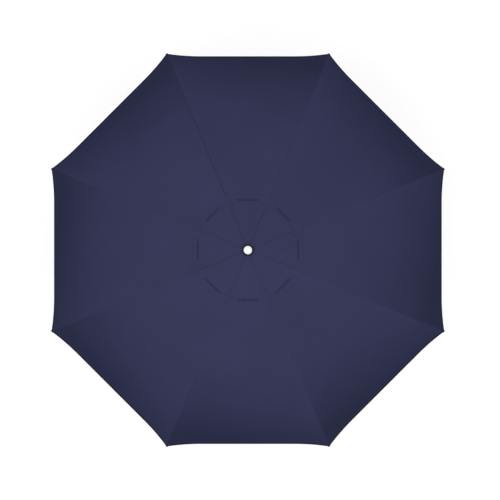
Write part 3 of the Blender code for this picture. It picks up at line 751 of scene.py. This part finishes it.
def hang_gore(prefix, sheet, index, first, last, material):
    """A gore is a strip over its rib, which keeps its width, and two wings beside it, and all three pieces
    ride on the rib. first and last give the rows of the sheet that the gore takes."""
    number = index + 1
    rib = f"rib_{number}"
    node = f"canopy_panel_{number}" if prefix == "canopy" else None
    per_gore = sheet[5]
    middle = per_gore // 2
    parts = (
        ("seam", 0, (middle - STRIP_COLUMNS, middle + STRIP_COLUMNS)),
        ("wing_cw", -1, (0, middle - STRIP_COLUMNS)),
        ("wing_ccw", 1, (middle + STRIP_COLUMNS, per_gore)),
    )
    for word, side, span in parts:
        piece = gore_piece(f"{prefix}_{word}_{number}", sheet, index, first, last, material, span)
        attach(piece, rib)
        if node:
            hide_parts(node)
        if side:
            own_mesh(piece)


def canopy():
    plain = canopy_cloth("canopy_canvas", (0.0215, 0.0190), 0.16)
    marked = canopy_cloth("canopy_canvas_marked_seam", (0.0215, 0.0190), 0.85)
    sheet = whole_sheet(main_rows(), MAIN_COLUMNS, main_point, main_lift)
    last = sheet[0].shape[0] - 1
    for index in range(RIB_COUNT):
        cloth = marked if index + 1 == MARKED_SEAM else plain
        hang_gore("canopy", sheet, index, 0, last, cloth)


def vent_cap():
    cloth = canopy_cloth("vent_cap_canvas", (0.0145, 0.0125), 0.60, cap=True)
    rows = cap_rows()
    sheet = whole_sheet(rows, CAP_COLUMNS, cap_point, cap_lift)
    turn = min(range(len(rows)), key=lambda i: abs(rows[i][0] - CROWN_RADIUS))
    for index in range(RIB_COUNT):
        number = index + 1
        crown = gore_piece(f"vent_cap_crown_{number}", sheet, index, 0, turn, cloth)
        if index == 0:
            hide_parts("vent_cap")
        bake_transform(crown)
        hang_gore("vent_cap", sheet, index, turn, len(rows) - 1, cloth)


# Hard parts that show more than the CAD's facets allow

def top_fittings(dark, gloss):
    seat = CAP_APEX_Z - HUB_Z + 0.001 + 0.0003
    bm = bmesh.new()
    outline = [
        (0.006, 0.0268), (0.0235, 0.0268), (0.0235, seat), (0.0375, seat), (0.0375, seat + 0.005),
        (0.034, seat + 0.008), (0.006, seat + 0.008),
    ]
    revolve(bm, eased(outline, 0.0012), 96, Matrix.Translation((0, 0, HUB_Z)))
    collar = finished(bm, "vent_collar_turned", dark, "head")
    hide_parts("vent_collar")

    foot = seat + 0.008 + 0.0003
    centre = foot + 0.041
    bm = bmesh.new()
    neck = [
        (0, 0.0165), (0.0057, 0.0165), (0.0057, foot), (0.0236, foot), (0.0240, foot + 0.0005),
        (0.0240, foot + 0.0024), (0.0232, foot + 0.0032), (0.0180, foot + 0.0045), (0.0153, foot + 0.0068),
        (0.0146, foot + 0.0096),
    ]
    ball = arc((0, centre), BALL_RADIUS, -57, 90, 28)
    ball[-1] = (0, centre + BALL_RADIUS)
    parting = [(r - 0.0004 * math.exp(-((h - centre) / 0.0007) ** 2), h) for r, h in ball[:-1]]
    revolve(bm, neck + parting + ball[-1:], 96, Matrix.Translation((0, 0, HUB_Z)))
    knob = finished(bm, "finial_ball", gloss, "head", 50)
    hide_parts("finial")


def poles(paint):
    wall = 0.019
    bm = bmesh.new()
    outline = [
        (0.0155, 0.0206), (wall, 0.0206), (wall, 0.7997), (0.0172, 0.7997), (0.0172, 0.870), (0.0155, 0.870),
    ]
    revolve(bm, eased(outline, 0.0005, 3), 72)
    lower = finished(bm, "pole_lower_tube", paint, "pole")
    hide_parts("lower_pole")

    bm = bmesh.new()
    outline = [(0.0175, 0.8003), (wall, 0.8003), (wall, 1.7397), (0.0175, 1.7397)]
    revolve(bm, eased(outline, 0.0006, 3), 72)
    middle = finished(bm, "pole_middle_tube", paint, "pole")
    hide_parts("mid_pole")


def base(paint, dark):
    bm = bmesh.new()
    outline = [(0, 0.006), (0.25, 0.006), (0.25, 0.020), (0, 0.020)]
    revolve(bm, eased(outline, 0.0050, 7), 128)
    plate = finished(bm, "base_disc", paint, "base")
    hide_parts("base_plate")

    bm = bmesh.new()
    outline = [
        (0.0225, 0.0203), (0.065, 0.0203), (0.065, 0.0283), (0.0335, 0.0283), (0.0302, 0.0292),
        (0.0281, 0.0310), (0.0268, 0.0340), (0.0265, 0.0380), (0.0265, 0.42), (0.0225, 0.42),
    ]
    revolve(bm, eased(outline, 0.0014, 4), 96)
    boss = [
        (0.0052, 0.0235), (0.0128, 0.0235), (0.0112, 0.0272), (0.011, 0.030), (0.011, 0.040), (0.0052, 0.040),
    ]
    revolve(bm, eased(boss, 0.0007, 3), 48, along_x((0, 0, 0.30)))
    stem = finished(bm, "base_stem_tube", paint, "base")
    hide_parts("base_stem")

    bm = bmesh.new()
    outline = [
        (0.0195, 0.36), (0.0222, 0.36), (0.0222, 0.4203), (0.0265, 0.4203), (0.0265, 0.425), (0.025, 0.4265),
        (0.0195, 0.4265),
    ]
    revolve(bm, eased(outline, 0.0008, 3), 72)
    bush = finished(bm, "stem_bush_turned", dark, "base")
    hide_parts("stem_bush")


def crank_grip(dark):
    bm = bmesh.new()
    outline = [
        (0.0043, -0.0645), (0.0088, -0.0645), (0.0096, -0.0652), (0.0104, -0.0690), (0.0120, -0.0750),
        (0.0120, -0.0790), (0.0120, -0.0860), (0.0120, -0.0930), (0.0120, -0.0980), (0.0112, -0.1030),
        (0.0096, -0.1067), (0.0060, -0.1091), (0, -0.1100), (0, -0.1045), (0.0043, -0.1045),
    ]
    revolve(bm, outline, 96, along_y((0, 0, 0.835)), (12, 0.0012, -0.0985, -0.0745))
    grip = finished(bm, "crank_grip", dark, "crank_knob", 40)
    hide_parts("crank_knob")


def rib_frame(index):
    """A frame with its origin at a rib's hinge and +X along the rib."""
    turned = Matrix.Rotation(rib_angle(index), 4, "Z")
    return turned @ Matrix.Translation((HINGE_RADIUS, 0, HUB_Z)) @ Matrix.Rotation(SLOPE, 4, "Y")


def tube(bm, loops):
    """Joins loops of vertices, which all have the same count, one after another."""
    sides = len(loops[0])
    for a, b in zip(loops, loops[1:]):
        for i in range(sides):
            j = (i + 1) % sides
            bm.faces.new((a[i], a[j], b[j], b[i]))


def rib_tips(plastic):
    """The plastic plug in each rib's end, whose round nose sits in the canopy's corner pocket."""
    for index in range(RIB_COUNT):
        number = index + 1
        place = rib_frame(index)
        bm = bmesh.new()
        rings = [
            (1.3405, 0.0042, 0.0072), (1.3552, 0.0042, 0.0072), (1.3552, 0.0059, 0.0089),
            (1.3560, 0.0063, 0.0093), (1.3585, 0.0063, 0.0093), (1.3600, 0.0056, 0.0082),
            (1.3640, 0.0050, 0.0070), (1.3668, 0.0036, 0.0050), (1.3680, 0.0016, 0.0024),
        ]
        sides = 28
        loops = []
        for s, wide, high in rings:
            loop = []
            for i in range(sides):
                angle = 2 * math.pi * i / sides
                c, n = math.cos(angle), math.sin(angle)
                y = wide * math.copysign(abs(c) ** 0.45, c)
                z = high * math.copysign(abs(n) ** 0.45, n)
                loop.append(bm.verts.new(place @ Vector((s, y, z))))
            loops.append(loop)
        tube(bm, loops)
        bm.faces.new(loops[0])
        bm.faces.new(loops[-1])
        tip = finished(bm, f"rib_tip_{number}", plastic, f"rib_{number}", 45)


def rib_pockets(cloth):
    """The sleeve under each corner that the rib's end is pushed into."""
    sections = [
        (1.302, 0.0), (1.304, 0.0009), (1.335, 0.0012), (1.360, 0.0010), (1.3695, 0.0004), (1.3712, -0.0016),
    ]
    sides = 32
    for index in range(RIB_COUNT):
        number = index + 1
        place = rib_frame(index)
        bm = bmesh.new()
        grids = []
        for thickness in (0.0, 0.0010):
            loops = []
            for s, puff in sections:
                loop = []
                for i in range(sides):
                    angle = 2 * math.pi * i / sides
                    c, n = math.cos(angle), math.sin(angle)
                    grow = puff + thickness
                    y = (0.0069 + grow) * math.copysign(abs(c) ** 0.6, c)
                    z = (0.0099 + grow) * math.copysign(abs(n) ** 0.6, n)
                    loop.append(bm.verts.new(place @ Vector((s, y, min(z, 0.0106)))))
                loops.append(loop)
            grids.append(loops)
        for loops in grids:
            tube(bm, loops)
        inner, outer = grids
        tube(bm, [inner[0], outer[0]])
        bm.faces.new(inner[-1])
        bm.faces.new(outer[-1])
        pocket = finished(bm, f"rib_pocket_{number}", cloth, f"rib_{number}", 60)


def pocket_cloth(name):
    paint = Paint(name)
    x, y, z = paint.parts()
    warp = paint.wave(98.0, paint.join(x, y), "X")
    weft = paint.wave(98.0, paint.join(y, z), "Y")
    weave = paint.math("MULTIPLY", warp, weft)
    cloud = paint.noise(40.0, 3)
    paint.color(paint.mix(cloud, (0.020, 0.022, 0.056), (0.026, 0.028, 0.070)))
    paint.set("Roughness", paint.ramp(cloud, 0.3, 0.7, 0.82, 0.93))
    paint.set("Normal", paint.bump(weave, 0.0003, 0.5))
    return paint.material


def cord_tail(fibre):
    """The run of lift cord that travels with the runner, inside the closed umbrella."""
    x = 0.0268
    points = [(x, 0, RUNNER_Z + 0.0123), (x, 0, 2.10), (x, 0, 2.24), (x, 0, 2.355)]
    sides = 10
    radius = 0.00135
    bm = bmesh.new()
    loops = []
    for px, py, pz in points:
        loops.append([
            bm.verts.new((px + radius * math.cos(2 * math.pi * i / sides),
                          py + radius * math.sin(2 * math.pi * i / sides), pz))
            for i in range(sides)
        ])
    tube(bm, loops)
    bm.faces.new(loops[0])
    bm.faces.new(loops[-1])
    tail = finished(bm, "lift_cord_tail", fibre, "runner")


def dress(materials):
    """Each CAD node that still shows gets a procedural finish, and the larger fittings get eased edges."""
    finishes = {
        "pole_coat": ["lower_pole", "mid_pole", "top_pole", "crank_arm"],
        "rib_coat": [f"{kind}_{i + 1}" for kind in ("rib", "strut") for i in range(RIB_COUNT)],
        "base_coat": ["base_plate", "base_stem"],
        "white": ["crank_housing_front", "crank_housing_back", "tilt_knuckle_lower", "tilt_knuckle_upper",
                  "hub", "hub_cover", "runner", "pulley"],
        "gloss": ["finial"],
        "dark": ["stem_bush", "clamp_knob", "crank_knob", "tilt_button", "vent_collar"],
        "steel": [f"base_bolt_{i + 1}" for i in range(4)] + [
            "clamp_stud", "snap_button", "crank_shaft", "tilt_pin", "pulley_pin", "hub_ring_wire",
            "housing_screw_1", "housing_screw_2"],
        "rubber": ["base_pad"],
        "fibre": ["lift_cord_lower", "lift_cord_upper"],
        "canvas": ["vent_cap"] + [f"canopy_panel_{i + 1}" for i in range(RIB_COUNT)],
    }
    eased_edges = {
        "hub": 0.0006, "runner": 0.0006, "hub_cover": 0.0006, "crank_housing_front": 0.0007,
        "crank_housing_back": 0.0007, "crank_arm": 0.0006, "clamp_knob": 0.0009, "tilt_knuckle_lower": 0.0004,
        "tilt_knuckle_upper": 0.0004, "tilt_button": 0.0004, "snap_button": 0.0004,
    }
    for key, nodes in finishes.items():
        for node in nodes:
            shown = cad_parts[node]
            for slot in shown.material_slots:
                slot.material = materials[key]
    for node, width in eased_edges.items():
        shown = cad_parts[node]
        bevel = shown.modifiers.new("eased_edges", "BEVEL")
        bevel.width = width
        bevel.segments = 2
        bevel.limit_method = "ANGLE"
        bevel.angle_limit = math.radians(40)
        bevel.harden_normals = False


bpy.context.scene.view_settings.view_transform = "Standard"
make_camera()
make_studio()

MATERIALS = {
    "pole_coat": powder_coat("pole_powder_coat", (0.76, 0.76, 0.75)),
    "rib_coat": powder_coat("rib_powder_coat", (0.76, 0.76, 0.75), 0.34, peel=800.0),
    "base_coat": powder_coat("base_powder_coat", (0.72, 0.72, 0.71), 0.42, peel=420.0),
    "white": moulded("white_moulding", (0.77, 0.77, 0.755)),
    "gloss": moulded("finial_moulding", (0.90, 0.90, 0.89), 0.20, 500.0, 0.00003, 0.5, 0.98),
    "dark": moulded("dark_moulding", (0.014, 0.015, 0.020), 0.48, 700.0, 0.00014, 0.0, 0.75),
    "collar": moulded("collar_moulding", (0.011, 0.012, 0.017), 0.60, 700.0, 0.00014, 0.0, 0.75, 0.15),
    "steel": bare_steel("plated_steel"),
    "rubber": rubber("pad_rubber_grain"),
    "fibre": braid("lift_cord_braid"),
    "canvas": pocket_cloth("pocket_canvas"),
}
dress(MATERIALS)
canopy()
vent_cap()
top_fittings(MATERIALS["collar"], MATERIALS["gloss"])
poles(MATERIALS["pole_coat"])
base(MATERIALS["base_coat"], MATERIALS["dark"])
crank_grip(MATERIALS["dark"])
rib_tips(MATERIALS["white"])
rib_pockets(MATERIALS["canvas"])
cord_tail(MATERIALS["fibre"])
